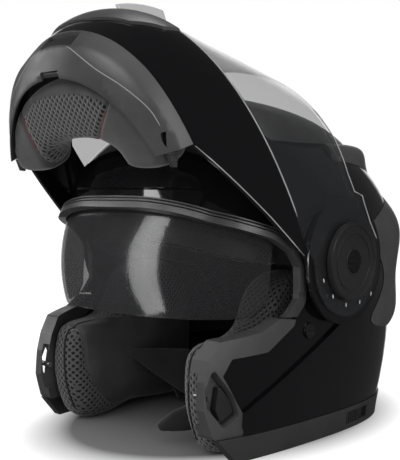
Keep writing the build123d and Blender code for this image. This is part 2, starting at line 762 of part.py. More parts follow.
with BuildPart() as sun_visor:
    add(
        layer(
            visor_form(0), visor_form(visor_wall),
            side_prism(visor_shares, rounding=visor_rounding),
        )
    )
    add(
        side_disc(visor_pin_radius + running_clearance, 0, reach, centre=visor_pivot),
        mode=Mode.SUBTRACT,
    )
keep(sun_visor, "sun_visor")
for side, hand in ((1, "left"), (-1, "right")):
    mount_back = visor_half_width + clearance
    mount_face = shell_half_width - shell_wall - visor_mount_gap
    pin_back = visor_half_width - visor_wall - visor_pin_proud
    with BuildPart() as visor_mount:
        add(side_disc(visor_boss_radius, mount_back, mount_face, centre=visor_pivot, sides=(side,)))
        add(side_disc(visor_pin_radius, pin_back, mount_face, centre=visor_pivot, sides=(side,)))
    keep(visor_mount, f"visor_pivot_{hand}")

# Impact foam in the crown and back, open in front for the sun visor and below for the cheeks
pocket_gap, pocket_side_gap, foam_setback = 1.0, 1.5, 12.0
pocket_half_width = visor_half_width + pocket_side_gap
visor_sector_shares = ((-1.1, 0.3), (-1.1, 1.1), (0.1, 1.1), (0.1, 0.6), (0.06, 0.3))
visor_pocket = layer(
    shell_outer,
    visor_form(visor_wall + pocket_gap),
    side_prism(visor_sector_shares),
    block((-pocket_half_width, pocket_half_width), (-reach, reach), (0, reach)),
)
with BuildPart() as impact_foam:
    add(layer(shell_liner_seat, head_foam))
    add(side_prism(front_void_shares, grow=foam_setback), mode=Mode.SUBTRACT)
    add(side_prism(cheek_room_shares), mode=Mode.SUBTRACT)
    add(visor_pocket, mode=Mode.SUBTRACT)
    add(
        side_disc(visor_boss_radius + clearance, 0, reach, centre=visor_pivot), mode=Mode.SUBTRACT
    )
    split(bisect_by=Plane.XY.offset(3 * base_trim_height), keep=Keep.TOP)
keep(impact_foam, "impact_foam")

# Quilted crown lining against the foam, and the plastic brow trim along its front edge
lining_rounding = 4.0
lining_shares = (
    (-0.6, 0.6), (-0.44, 0.588), (-0.31, 0.547), (-0.22, 0.521), (-0.1, 0.514), (0.2, 0.455),
    (0.3, 0.27), (0.7, 0.27), (0.7, 1.0), (-0.6, 1.0),
)
with BuildPart() as crown_lining:
    add(layer(head_padded, head_room, side_prism(lining_shares, rounding=lining_rounding)))
    add(visor_pocket, mode=Mode.SUBTRACT)
keep(crown_lining, "crown_lining")
brow_wall = 2.0
brow_shares = (
    (-0.6, 0.612), (-0.44, 0.6), (-0.31, 0.557), (-0.22, 0.528), (-0.2, 0.57), (-0.3, 0.6),
    (-0.42, 0.645), (-0.6, 0.66),
)
brow_inset = -fabric_thickness - clearance
with BuildPart() as brow_trim:
    add(
        layer(
            level_form(head_level_shares, shell_sizes, brow_inset - brow_wall),
            level_form(head_level_shares, shell_sizes, brow_inset),
            side_prism(brow_shares),
        )
    )
    add(visor_pocket, mode=Mode.SUBTRACT)
keep(brow_trim, "brow_trim")

# Neck roll round the back of the opening
roll_height, roll_thickness, roll_level = 36.0, 15.0, 22.5
roll_half_width, roll_back, roll_start = 90.6, 113.0, 34.0
roll_side_share, roll_back_share = 0.8, 0.62
with BuildPart() as neck_roll:
    with BuildLine() as roll_path:
        for turn in (1, -1):
            Bezier(
                (turn * roll_half_width, roll_start, roll_level),
                (turn * roll_half_width, roll_side_share * roll_back, roll_level),
                (turn * roll_back_share * roll_half_width, roll_back, roll_level),
                (0, roll_back, roll_level),
            )
    with BuildSketch(Plane(origin=roll_path.line @ 0, x_dir=(1, 0, 0), z_dir=(0, 1, 0))):
        Ellipse(roll_thickness / 2, roll_height / 2)
    sweep()
keep(neck_roll, "neck_roll")

# Chin straps, which run in through slots in the cheek pads
strap_width, strap_thickness, strap_middle, strap_bend = 24.0, 2.0, -11.0, 9.0
slot_gap = 0.6
strap_start, strap_bow = (88.0, 58.0), (60.0, 46.0)
left_strap_line = (strap_start, strap_bow, (44.0, 24.0), (28.0, 9.0), (15.0, 8.6))
right_strap_line = (strap_start, strap_bow, (41.0, 29.0), (29.5, 12.0))


def strap_web(points, side, gap=0.0):
    """Webbing seen from the front as a thin bent line, then given its width."""
    with BuildPart(mode=Mode.PRIVATE) as web:
        with BuildSketch(Plane.XZ.offset(-strap_middle)):
            with BuildLine():
                FilletPolyline(*[(side * x, z) for x, z in points], radius=strap_bend)
            trace(line_width=strap_thickness + 2 * gap)
        extrude(amount=strap_width / 2 + gap, both=True)
    return web.part


with BuildPart() as strap_left:
    add(strap_web(left_strap_line, 1))
keep(strap_left, "strap_left")
with BuildPart() as strap_right:
    add(strap_web(right_strap_line, -1))
keep(strap_right, "strap_right")

# Padded sleeves of the straps, standing free beside the webbing
sleeve_thickness, sleeve_rounding = 6.0, 3.0
right_sleeve_line = (
    (2.5, 53.0), (20.0, 54.0), (50.0, 54.0), (60.0, 45.0), (62.0, 30.0), (56.0, 20.0),
    (46.0, 17.0), (20.0, 34.0), (2.5, 47.0),
)
left_sleeve_line = (
    (3.0, 32.0), (20.0, 31.0), (40.0, 24.0), (52.0, 15.0), (48.0, 10.0), (30.0, 9.0), (3.0, 12.0),
)
sleeves = (
    ("left", (55.3, -60.0), (-26.5, -45.0), left_sleeve_line),
    ("right", (-56.6, -53.0), (56.0, 43.0), right_sleeve_line),
)
for hand, foot, heading, outline_line in sleeves:
    with BuildPart() as strap_sleeve:
        sleeve_plane = Plane(
            origin=(*foot, 0), x_dir=(*heading, 0), z_dir=(heading[1], -heading[0], 0)
        )
        with BuildSketch(sleeve_plane) as sleeve_outline:
            with BuildLine():
                Polyline(*outline_line, close=True)
            make_face()
            fillet(sleeve_outline.vertices(), sleeve_rounding)
        extrude(amount=sleeve_thickness / 2, both=True)
        fillet(strap_sleeve.faces().filter_by(GeomType.PLANE).sort_by(SortBy.AREA)[-2:].edges(),
               sleeve_thickness / 3)
    keep(strap_sleeve, f"strap_sleeve_{hand}")

# Cheek pads: crowned cushions on foam carriers, slotted for the straps
cheek_outline_shares = (
    (-0.405, 0.04), (-0.435, 0.12), (-0.442, 0.22), (-0.425, 0.29), (-0.31, 0.315), (-0.215, 0.36),
    (-0.16, 0.46), (-0.06, 0.495), (0.05, 0.46), (0.1, 0.36), (0.105, 0.16), (0.075, 0.04),
    (-0.15, 0.028),
)
cheek_middle = side_point((-0.16, 0.22))
cheek_inner, cheek_outer = 56.0, 93.0
cheek_levels_shares = ((0.0, 0.78), (0.07, 0.91), (0.22, 0.98), (0.54, 1.0), (1.0, 0.98))
carrier_rounding = 3.0
channel_shares = ((-0.365, 0.0), (-0.33, 0.34), (-0.322, 0.34), (-0.357, 0.0))
channel_floor = 62.0
with BuildPart() as cheek_cushion:
    for place_share, size_share in cheek_levels_shares:
        outline_points = [
            tuple(
                middle + size_share * (place - middle)
                for place, middle in zip(side_point(share), cheek_middle)
            )
            for share in cheek_outline_shares
        ]
        level = cheek_inner + place_share * (cheek_outer - cheek_inner)
        with BuildSketch(Plane.YZ.offset(level)):
            with BuildLine():
                Spline(*outline_points, periodic=True)
            make_face()
    loft()
cheek_channel = layer(
    side_prism(channel_shares),
    block((channel_floor, reach), (-reach, reach), (-reach, reach)),
    block((-channel_floor, reach), (-reach, reach), (-reach, reach)),
)
for side, hand in ((1, "left"), (-1, "right")):
    with BuildPart() as cheek_pad:
        add(cheek_cushion.part if side > 0 else cheek_cushion.part.mirror(Plane.YZ))
        add(shell_form(trim_depth + clearance), mode=Mode.INTERSECT)
        add(cheek_channel, mode=Mode.SUBTRACT)
        add(strap_web(left_strap_line, 1, slot_gap), mode=Mode.SUBTRACT)
        add(strap_web(right_strap_line, -1, slot_gap), mode=Mode.SUBTRACT)
    keep(cheek_pad, f"cheek_pad_{hand}")
    with BuildPart() as cheek_carrier:
        carrier_side = side_prism(cheek_carrier_shares, rounding=carrier_rounding)
        add(layer(shell_liner_seat, trim_inner, carrier_side, hand_half(side)))
    keep(cheek_carrier, f"cheek_carrier_{hand}")

# The quick buckle: body with a channel for the toothed tongue, and a lever pinned into its top
buckle_across, buckle_along, buckle_up = (-12.0, 14.5), (-25.0, 3.0), (4.0, 14.8)
buckle_rounding = 3.0
tongue_across, tongue_along, tongue_up = (-31.0, 2.0), (-19.5, -2.5), (8.0, 10.4)
tongue_gap, tongue_stop = 0.4, 8.0
lever_across, lever_along, lever_up = (-7.0, 11.0), (-17.6, -4.4), (11.9, 15.1)
lever_gap, lever_rounding = 0.4, 2.0
lever_pin_radius, lever_pin_length = 0.9, 15.6
lever_middle = ((lever_along[0] + lever_along[1]) / 2, (lever_up[0] + lever_up[1]) / 2)
lever_barrel_radius = (lever_up[1] - lever_up[0]) / 2


def lever_rod(radius, length):
    """A rod on the lever's hinge axis."""
    with BuildPart(mode=Mode.PRIVATE) as rod:
        with BuildSketch(Plane.XZ.offset(length / 2 - lever_middle[0])):
            with Locations((lever_across[0], lever_middle[1])):
                Circle(radius)
        extrude(amount=-length)
    return rod.part


with BuildPart() as buckle_body:
    add(block(buckle_across, buckle_along, buckle_up))
    fillet(buckle_body.edges().filter_by(Axis.Z), buckle_rounding)
    add(
        block(
            (-reach, tongue_stop), grown(tongue_along, tongue_gap), grown(tongue_up, tongue_gap)
        ),
        mode=Mode.SUBTRACT,
    )
    add(
        block(
            (lever_across[0] - lever_barrel_radius - lever_gap, reach),
            grown(lever_along, lever_gap),
            (min(lever_up) - lever_gap, reach),
        ),
        mode=Mode.SUBTRACT,
    )
    add(
        lever_rod(lever_pin_radius + running_clearance, lever_pin_length + lever_gap),
        mode=Mode.SUBTRACT,
    )
keep(buckle_body, "buckle_body")
tooth_pitch, tooth_count, tooth_depth, tooth_share = 2.2, 11, 1.1, 0.8
tooth_skim = 0.1
with BuildPart() as buckle_tongue:
    add(block(tongue_across, tongue_along, tongue_up))
    with BuildSketch(Plane.XZ.offset(-max(tongue_along))):
        for tooth in range(tooth_count):
            start = max(tongue_across) - (tooth + 1) * tooth_pitch
            top = max(tongue_up)
            with BuildLine():
                Polyline(
                    (start, top + tooth_skim),
                    (start - tooth_pitch * tooth_share, top + tooth_skim),
                    (start, top - tooth_depth),
                    close=True,
                )
            make_face()
    extrude(amount=max(tongue_along) - min(tongue_along), mode=Mode.SUBTRACT)
keep(buckle_tongue, "buckle_tongue")
with BuildPart() as buckle_lever:
    add(block(lever_across, lever_along, lever_up))
    fillet(buckle_lever.edges().filter_by(Axis.Z).sort_by(Axis.X)[-2:], lever_rounding)
    add(lever_rod(lever_barrel_radius, lever_along[1] - lever_along[0]))
    add(lever_rod(lever_pin_radius, lever_pin_length))
keep(buckle_lever, "buckle_lever")
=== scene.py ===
import bpy
import bmesh
import json
import math
from mathutils import Matrix, Vector
from mathutils.bvhtree import BVHTree

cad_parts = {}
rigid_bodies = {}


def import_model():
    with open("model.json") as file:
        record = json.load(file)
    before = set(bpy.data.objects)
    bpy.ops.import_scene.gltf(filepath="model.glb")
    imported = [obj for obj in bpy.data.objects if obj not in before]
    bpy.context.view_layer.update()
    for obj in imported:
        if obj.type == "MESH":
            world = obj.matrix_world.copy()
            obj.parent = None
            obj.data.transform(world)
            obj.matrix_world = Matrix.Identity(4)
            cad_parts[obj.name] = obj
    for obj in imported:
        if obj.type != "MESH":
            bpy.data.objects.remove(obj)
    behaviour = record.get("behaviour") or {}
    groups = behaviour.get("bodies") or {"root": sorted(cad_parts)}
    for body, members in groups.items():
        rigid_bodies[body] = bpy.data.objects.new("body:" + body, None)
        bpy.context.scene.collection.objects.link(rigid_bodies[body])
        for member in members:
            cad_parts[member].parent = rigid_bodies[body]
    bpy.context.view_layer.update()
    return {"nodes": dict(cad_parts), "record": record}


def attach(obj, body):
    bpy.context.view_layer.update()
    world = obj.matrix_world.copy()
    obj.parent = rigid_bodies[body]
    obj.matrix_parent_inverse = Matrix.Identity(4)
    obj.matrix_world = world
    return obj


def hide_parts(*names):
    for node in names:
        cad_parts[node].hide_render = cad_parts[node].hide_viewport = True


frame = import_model()
nodes = frame["nodes"]
scene = bpy.context.scene

MM = 0.001
HANDS = (("left", 1), ("right", -1))
# At rest the front is swung up by RAISE about the pivots' cross axis, PIVOT_Z mm above the rim.
RAISE = math.radians(67)
PIVOT_Z = 132.0
NO_SEAM = 1.0  # a distance, in metres, at which a carved seam leaves no trace


# ---------------------------------------------------------------- shader helpers
class Shader:
    """A small builder for one procedural material."""

    def __init__(self, name):
        self.mat = bpy.data.materials.new(name)
        self.mat.use_nodes = True
        self.tree = self.mat.node_tree
        self.bsdf = self.tree.nodes["Principled BSDF"]
        self.coord = self.node("TexCoord")

    def node(self, kind, **inputs):
        """A new node, with the inputs given by name set or wired."""
        made = self.tree.nodes.new("ShaderNode" + kind)
        for key, value in inputs.items():
            self.wire(value, made.inputs[key.replace("_", " ")])
        return made

    def wire(self, value, socket):
        if hasattr(value, "is_output"):
            self.tree.links.new(value, socket)
        else:
            socket.default_value = value

    def math(self, operation, *values):
        made = self.node("Math")
        made.operation = operation
        for socket, value in zip(made.inputs, values):
            self.wire(value, socket)
        return made.outputs[0]

    def place(self, scale=(1, 1, 1), turn=(0, 0, 0), source=None):
        source = source or self.coord.outputs["Object"]
        return self.node("Mapping", Scale=scale, Rotation=turn, Vector=source).outputs[0]

    def noise(self, scale, detail=2.0, rough=0.5, vector=None):
        vector = vector or self.coord.outputs["Object"]
        made = self.node("TexNoise", Scale=scale, Detail=detail, Roughness=rough, Vector=vector)
        return made.outputs["Fac"]

    def ramp(self, value, stops):
        """Greys or colours laid along the value, from pairs of a place and a colour."""
        made = self.node("ValToRGB", Fac=value)
        ramp = made.color_ramp
        while len(ramp.elements) < len(stops):
            ramp.elements.new(0.5)
        for element, (place, colour) in zip(ramp.elements, stops):
            element.position = place
            element.color = (*colour, 1) if hasattr(colour, "__len__") else (colour, colour, colour, 1)
        return made.outputs["Color"]

    def bump(self, height, strength, distance, below=None):
        made = self.node("Bump", Strength=strength, Distance=distance, Height=height)
        if below is not None:
            self.wire(below, made.inputs["Normal"])
        return made.outputs["Normal"]

    def set(self, **values):
        """Sets or wires the shader's own inputs, and hands back the material."""
        for key, value in values.items():
            self.wire(value, self.bsdf.inputs[key.replace("_", " ")])
        return self.mat


def gloss_paint():
    """Black lacquer with a faint orange peel."""
    s = Shader("gloss_black_paint")
    peel, haze = s.noise(260, detail=1.0), s.noise(14, detail=3.0)
    return s.set(
        Base_Color=(0.0035, 0.0035, 0.004, 1),
        Roughness=s.ramp(haze, ((0.3, 0.05), (0.75, 0.1))),
        Normal=s.bump(peel, strength=0.025, distance=0.0006),
        Coat_Weight=1.0,
        Coat_Roughness=0.03,
    )


def moulded(name, dark, light, rough, grain=2600):
    """Satin or matt moulded plastic with a spark-eroded grain."""
    s = Shader(name)
    cloud, wear = s.noise(28, detail=4.0), s.noise(90, detail=3.0)
    return s.set(
        Base_Color=s.ramp(cloud, ((0.3, dark), (0.72, light))),
        Roughness=s.ramp(wear, ((0.3, rough[0]), (0.75, rough[1]))),
        Normal=s.bump(s.noise(grain, rough=0.6), strength=0.25, distance=0.00012),
    )


def rubber():
    s = Shader("seal_rubber")
    cloud, wear, grain = s.noise(60, detail=3.0), s.noise(400), s.noise(1500)
    return s.set(
        Base_Color=s.ramp(cloud, ((0.3, 0.02), (0.8, 0.034))),
        Roughness=s.ramp(wear, ((0.2, 0.26), (0.9, 0.36))),
        Normal=s.bump(grain, strength=0.1, distance=0.0001),
    )


def steel(name, value, rough):
    """Brushed steel, its streaks drawn out along y."""
    s = Shader(name)
    streak = s.noise(900, vector=s.place((1, 0.06, 1)))
    return s.set(
        Base_Color=s.ramp(streak, ((0.2, value * 0.8), (0.8, value))),
        Roughness=s.ramp(streak, ((0.2, rough * 0.7), (0.8, rough * 1.3))),
        Normal=s.bump(streak, strength=0.1, distance=0.00008),
        Metallic=1.0,
    )


def clear(name, colour, low, high, rough=0.02):
    """Clear or smoked sheet: seen through face on, and reflecting at a glance."""
    s = Shader(name)
    edge, haze = s.node("LayerWeight", Blend=0.35), s.noise(9, detail=3.0)
    return s.set(
        Base_Color=colour,
        Alpha=s.ramp(edge.outputs["Fresnel"], ((0.0, low), (0.8, high))),
        Roughness=s.ramp(haze, ((0.3, rough), (0.8, rough * 2.2))),
        Coat_Weight=1.0,
        Coat_Roughness=rough,
        Coat_IOR=1.7,
    )


def foam():
    """Moulded bead foam: 3 mm cells with pressed-in joints."""
    s = Shader("bead_foam")
    cells = s.node("TexVoronoi", Scale=330, Vector=s.coord.outputs["Object"]).outputs["Distance"]
    return s.set(
        Base_Color=s.ramp(cells, ((0.1, 0.02), (0.7, 0.011))),
        Roughness=s.ramp(s.noise(300), ((0.2, 0.7), (0.8, 0.9))),
        Normal=s.bump(cells, strength=-0.5, distance=0.0006),
    )


def woven_height(s, pitch, frame_turn, holes):
    """Open spacer mesh: rows of holes laid on from three sides, blended by the surface's facing."""
    turned = s.place(turn=(frame_turn, 0, 0))
    facing = s.place(turn=(frame_turn, 0, 0), source=s.coord.outputs["Normal"])
    split = s.node("SeparateXYZ", Vector=facing)
    quarter = math.pi / 2
    total, heights = None, None
    for axis, spin in enumerate(((0, quarter, 0), (quarter, 0, 0), (0, 0, 0))):
        weight = s.math("POWER", s.math("ABSOLUTE", split.outputs[axis]), 8.0)
        flat = s.place(turn=spin, source=turned)
        slant = s.place((1 / pitch, 1 / pitch, 1 / pitch), (0, 0, quarter / 2), flat)
        cells = s.node("TexVoronoi", Scale=1.0, Randomness=0.0, Vector=slant)
        cells.voronoi_dimensions = "2D"
        part = s.math("MULTIPLY", cells.outputs["Distance"], weight)
        total = weight if total is None else s.math("ADD", total, weight)
        heights = part if heights is None else s.math("ADD", heights, part)
    return s.ramp(s.math("DIVIDE", heights, total), ((holes[0], 0.0), (holes[1], 1.0)))


def fabric(name, pitch, tint, frame_turn=0.0, holes=(0.24, 0.38)):
    """Suede-like knit, with open spacer mesh of this pitch where the piece's mesh share says so."""
    s = Shader(name)
    plain = s.ramp(s.noise(55, detail=3.0), ((0.3, tint * 0.75), (0.75, tint * 1.15)))
    fuzz = s.bump(s.noise(1900, detail=3.0, rough=0.7), strength=0.5, distance=0.0004)
    s.set(Roughness=0.88, Sheen_Weight=0.25, Sheen_Roughness=0.4)
    if not pitch:
        return s.set(Base_Color=plain, Normal=fuzz)
    net = woven_height(s, pitch, frame_turn, holes)
    share = s.node("Attribute")
    share.attribute_name = "mesh_share"
    part = s.ramp(share.outputs["Fac"], ((0.42, 0.0), (0.58, 1.0)))
    # Painted shade and light: nearly black in the mesh holes, lighter on the thread crowns.
    mesh_with_painted_shade = s.ramp(net, ((0.0, tint * 0.04), (0.6, tint * 0.7), (1.0, tint * 1.5)))
    mix = s.node("Mix")
    mix.data_type = "RGBA"
    for socket, value in (("Factor", part), ("A", plain), ("B", mesh_with_painted_shade)):
        s.wire(value, mix.inputs[socket])
    height = s.math("MULTIPLY", net, part)
    return s.set(
        Base_Color=mix.outputs["Result"],
        Normal=s.bump(height, strength=0.8, distance=0.0009, below=fuzz),
    )


def weave(name, pitch, tint):
    """Woven webbing: fine ribs with a herringbone slant."""
    s = Shader(name)
    slant = s.place(turn=(0.4, 0.3, 0.7))
    ribs = s.node("TexWave", Scale=0.5 / pitch, Distortion=1.2, Detail=2.0, Vector=slant)
    height = ribs.outputs["Fac"]
    return s.set(
        Base_Color=s.ramp(height, ((0.1, tint * 0.4), (0.8, tint))),
        Normal=s.bump(height, strength=0.6, distance=0.0004),
        Roughness=0.75,
        Sheen_Weight=0.2,
    )


M = {
    "gloss_shell": gloss_paint(),
    "satin_trim": moulded("satin_trim", 0.03, 0.04, (0.34, 0.46)),
    "rim_trim": moulded("rim_trim", 0.018, 0.026, (0.3, 0.42)),
    "black_plastic": moulded("black_plastic", 0.009, 0.014, (0.3, 0.45), grain=1800),
    "red_plastic": moulded("red_plastic", 0.02, 0.03, (0.3, 0.4)),
    "screw_steel": steel("screw_steel", 0.12, 0.3),
    "steel": steel("latch_steel", 0.55, 0.28),
    "rivet": steel("dark_rivet", 0.16, 0.34),
    "seal_rubber": rubber(),
    "clear_shield": clear("clear_shield", (0.035, 0.036, 0.038, 1), 0.13, 0.5),
    "smoked_visor": clear("smoked_visor", (0.035, 0.035, 0.037, 1), 0.3, 0.8, 0.09),
    "foam": foam(),
    # The lining and the plain fabric of the neck roll and sleeves are black cloth, and their tint is set
    # darker still as painted shade for the dim inside of the shell.
    "lining_fabric": fabric("lining_fabric", 0.0026, 0.012),
    "plain_fabric": fabric("plain_fabric", 0.0, 0.014),
    "mesh_fabric": fabric("mesh_fabric", 0.0036, 0.036),
    "chin_mesh": fabric("chin_mesh", 0.0037, 0.034, RAISE, (0.28, 0.42)),
    "piping": fabric("piping", 0.0, 0.006),
    "webbing": weave("webbing", 0.0012, 0.02),
    "red_thread": moulded("red_thread", (0.16, 0.008, 0.012), (0.24, 0.012, 0.018), (0.6, 0.7)),
    "pale_mark": moulded("pale_mark", 0.5, 0.6, (0.35, 0.45)),
    # Pale greys for the ridges on the shield's and the arms' edges and on the lip's crease: painted
    # highlights.
    "painted_highlight_edge": moulded("painted_highlight_edge", 0.2, 0.26, (0.2, 0.3)),
    "painted_highlight_crease": moulded("painted_highlight_crease", 0.16, 0.2, (0.28, 0.36)),
}

# ---------------------------------------------------------------- the CAD's rigid pieces
slot_of = {p["node"]: p["material_slot"] for p in frame["record"]["subparts"]}
EDGE_WIDTHS = {  # in mm: the nodes whose sharp edges are broken by this much
    0.3: ("pivot_cover_left", "pivot_cover_right", "visor_slider"),
    0.35: ("eye_port_seal",),
    0.4: ("latch_cover_left", "latch_cover_right", "rear_vent", "chin_vent_shutter", "chin_bar_shell",
          "shield_tab", "hinge_plate_left", "hinge_plate_right", "outer_shell", "brow_trim"),
    0.5: ("chin_lip", "bar_top_trim", "face_shield", "sun_visor"),
    0.6: ("base_trim", "crown_vent"),
    0.8: ("jaw_trim_left", "jaw_trim_right", "rear_spoiler"),
}
WELD = 0.002 * MM
SHARP = math.radians(38)
edge_of = {name: width * MM for width, names in EDGE_WIDTHS.items() for name in names}
for name, obj in nodes.items():
    obj.data.materials.clear()
    obj.data.materials.append(M[slot_of[name]])
    if name in edge_of:
        weld = obj.modifiers.new("weld", "WELD")
        weld.merge_threshold = WELD
        bevel = obj.modifiers.new("edge", "BEVEL")
        bevel.width = edge_of[name]
        bevel.segments = 2
        bevel.limit_method = "ANGLE"
        bevel.angle_limit = SHARP
        bevel.harden_normals = True
        smooth = obj.modifiers.new("normals", "WEIGHTED_NORMAL")
        smooth.keep_sharp = False


# ---------------------------------------------------------------- soft pieces
def shaded(mesh):
    for face in mesh.polygons:
        face.use_smooth = True


def new_object(name, mesh, material):
    obj = bpy.data.objects.new(name, mesh)
    scene.collection.objects.link(obj)
    mesh.materials.clear()
    mesh.materials.append(material)
    shaded(mesh)
    return obj


def baked(obj):
    """Swaps the object's mesh for one with its modifiers applied."""
    graph = bpy.context.evaluated_depsgraph_get()
    mesh = bpy.data.meshes.new_from_object(obj.evaluated_get(graph))
    obj.modifiers.clear()
    old = obj.data
    obj.data = mesh
    bpy.data.meshes.remove(old)


def remeshed(node, name, material, voxel):
    """A copy of the node's solid in even, softened quads."""
    obj = new_object(name, nodes[node].data.copy(), material)
    again = obj.modifiers.new("remesh", "REMESH")
    again.mode = "VOXEL"
    again.voxel_size = voxel
    smooth = obj.modifiers.new("smooth", "SMOOTH")
    smooth.factor, smooth.iterations = 0.5, 4
    baked(obj)
    return obj


def swell(obj, pressure, cap, held=lambda p: False, frames=16):
    """Blow the cushion up a little with a cloth simulation, holding it where it is fixed."""
    start = [v.co.copy() for v in obj.data.vertices]
    group = obj.vertex_groups.new(name="held")
    group.add([v.index for v in obj.data.vertices if held(v.co)], 1.0, "REPLACE")
    cloth = obj.modifiers.new("cloth", "CLOTH")
    cloth.settings.use_pressure = True
    cloth.settings.uniform_pressure_force = pressure
    cloth.settings.effector_weights.gravity = 0
    cloth.settings.vertex_group_mass = "held"
    cloth.settings.quality = 4
    cloth.point_cache.frame_end = frames
    for step in range(1, frames + 1):
        scene.frame_set(step)
    baked(obj)
    scene.frame_set(1)
    for vertex, before in zip(obj.data.vertices, start):
        move = vertex.co - before
        if move.length > cap:
            vertex.co = before + move * (cap / move.length)


def nearest_on(path, point, axes):
    """Distance of a point from a path in the plane of two axes, negative on the path's right."""
    best, side = math.inf, 1.0
    p = Vector((point[axes[0]], point[axes[1]]))
    for a, b in zip(path, path[1:]):
        a, b = Vector(a), Vector(b)
        along = b - a
        share = max(0.0, min(1.0, (p - a).dot(along) / along.length_squared))
        gap = p - (a + along * share)
        if gap.length < best:
            best = gap.length
            side = math.copysign(1.0, along.x * gap.y - along.y * gap.x)
    return best * side


def carve(obj, depth, width, distance):
    """Press a seam into the surface where the distance function is near nought."""
    normals = [v.normal.copy() for v in obj.data.vertices]
    for vertex, normal in zip(obj.data.vertices, normals):
        gap = distance(vertex.co)
        vertex.co -= normal * depth * math.exp(-((gap / width) ** 2))


def share_of(obj, rule):
    """Write how much of the open mesh each point of the surface has."""
    made = obj.data.attributes.new("mesh_share", "FLOAT", "POINT")
    for vertex in obj.data.vertices:
        made.data[vertex.index].value = max(0.0, min(1.0, rule(vertex.co)))


def finer(obj):
    obj.modifiers.new("finer", "SUBSURF").levels = 1
    baked(obj)
    shaded(obj.data)


def shut(p):
    """A point of the swung-up front, back in the shut position, in millimetres."""
    y, z = p[1] / MM, p[2] / MM - PIVOT_Z
    return Vector((p[0] / MM, y * math.cos(RAISE) - z * math.sin(RAISE),
                   PIVOT_Z + y * math.sin(RAISE) + z * math.cos(RAISE)))


def lifted(x, y, z):
    """A point of the shut front, in millimetres, swung up, in metres."""
    z -= PIVOT_Z
    return Vector((x, y * math.cos(RAISE) + z * math.sin(RAISE),
                   PIVOT_Z - y * math.sin(RAISE) + z * math.cos(RAISE))) * MM


def cheek_pad(hand):
    """A cheek cushion, with open mesh in front of and below a seam that follows its edge."""
    node = "cheek_pad_" + hand
    obj = remeshed(node, "cheek_cushion_" + hand, M["mesh_fabric"], voxel=0.0032)
    fixed_x, inner_x, mesh_top = 0.078, 0.075, 0.08
    swell(obj, pressure=3.0, cap=0.004, held=lambda p: abs(p.x) > fixed_x)
    finer(obj)
    edge = [(-0.1, 0.135), (-0.101, 0.087), (-0.1, 0.067), (-0.098, 0.047), (-0.091, 0.031),
            (-0.078, 0.015), (-0.06, 0.007), (0.03, 0.004)]

    def seam(p):
        return nearest_on(edge, p, (1, 2))

    carve(obj, 0.0012, 0.0016, lambda p: seam(p) if abs(p.x) < inner_x else NO_SEAM)
    share_of(obj, lambda p: 0.5 - 400 * seam(p) if p.z < mesh_top else 1.0)
    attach(obj, "helmet")
    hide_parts(node)
    return obj


def chin_pad():
    """The chin cushion, with open mesh in the middle, between two cross seams and a rim seam."""
    obj = remeshed("chin_pad", "chin_cushion", M["chin_mesh"], voxel=0.003)
    fixed_y, fixed_z = -170, 50
    swell(obj, pressure=3.0, cap=0.003,
          held=lambda p: shut(p).y < fixed_y or shut(p).z > fixed_z)
    finer(obj)
    seam_y, left_x, right_x = -147.0, 31.5, 48.0
    rim_depth, rim_half, rim_width = 182.0, 80.0, 10.0

    def gap(p):
        x, y, z = shut(p)
        left = x - (left_x - (y - seam_y) * 0.9)
        right = -x - (right_x - (y - seam_y) * 0.2)
        arc = rim_depth * max(0.0, 1 - (abs(x) / rim_half) ** 3) ** (1 / 3)
        return (left if x > 0 else right) * MM, (rim_width - (arc + y)) * MM

    carve(obj, 0.0016, 0.0018, lambda p: gap(p)[0])
    carve(obj, 0.0008, 0.0014, lambda p: gap(p)[1] if gap(p)[0] < 0 else NO_SEAM)
    share_of(obj, lambda p: 0.5 - 500 * max(gap(p)))
    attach(obj, "chin_bar")
    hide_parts("chin_pad")
    return obj


def quilted(node, name, slot, voxel, pressure, cap, seams, share):
    """A padded copy of a node, with its seams pressed in."""
    obj = remeshed(node, name, M[slot], voxel)
    swell(obj, pressure, cap)
    carve(obj, 0.0012, 0.002, seams)
    finer(obj)
    share_of(obj, share)
    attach(obj, "helmet")
    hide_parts(node)


def lining_seams(p):
    """Across the crown at an even pitch, beside two seams down its middle strip."""
    pitch, strip, first = 0.026, 0.028, 0.3
    across = abs((p.y + first) % pitch - pitch / 2)
    return min(across if abs(p.x) > strip else NO_SEAM, abs(abs(p.x) - strip))


pads = {"left": cheek_pad("left"), "right": cheek_pad("right"), "chin": chin_pad()}
NECK_SEAM_Z = 0.0225
quilted("crown_lining", "crown_lining_quilt", "lining_fabric", voxel=0.0035, pressure=1.0, cap=0.001,
        seams=lining_seams, share=lambda p: 1.0)
quilted("neck_roll", "neck_roll_cushion", "plain_fabric", voxel=0.0035, pressure=3.0, cap=0.0015,
        seams=lambda p: p.z - NECK_SEAM_Z, share=lambda p: 0.0)
for hand, side in HANDS:
    quilted("strap_sleeve_" + hand, "strap_sleeve_pad_" + hand, "plain_fabric", voxel=0.0016,
            pressure=1.5, cap=0.001, seams=lambda p: NO_SEAM, share=lambda p: 0.0)


# ---------------------------------------------------------------- straps, stitches and marks
def run_at(line, k):
    """The direction of a line of points at its point k."""
    return (line[min(k + 1, len(line) - 1)] - line[max(k - 1, 0)]).normalized()


def skinned(bm, rings):
    """Closed skin over rings of vertices, with an end face on the first and the last."""
    count = len(rings[0])
    for one, two in zip(rings, rings[1:]):
        for k in range(count):
            last = (k + 1) % count
            bm.faces.new((one[k], one[last], two[last], two[k]))
    bm.faces.new(rings[0])
    bm.faces.new(rings[-1])
    bmesh.ops.recalc_face_normals(bm, faces=bm.faces)


def closed_piece(name, bm, body, material):
    mesh = bpy.data.meshes.new(name)
    bm.to_mesh(mesh)
    bm.free()
    obj = new_object(name, mesh, material)
    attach(obj, body)
    return obj


def surface_of(obj):
    made = bmesh.new()
    made.from_mesh(obj.data)
    made.transform(obj.matrix_world)
    tree = BVHTree.FromBMesh(made)
    made.free()
    return tree


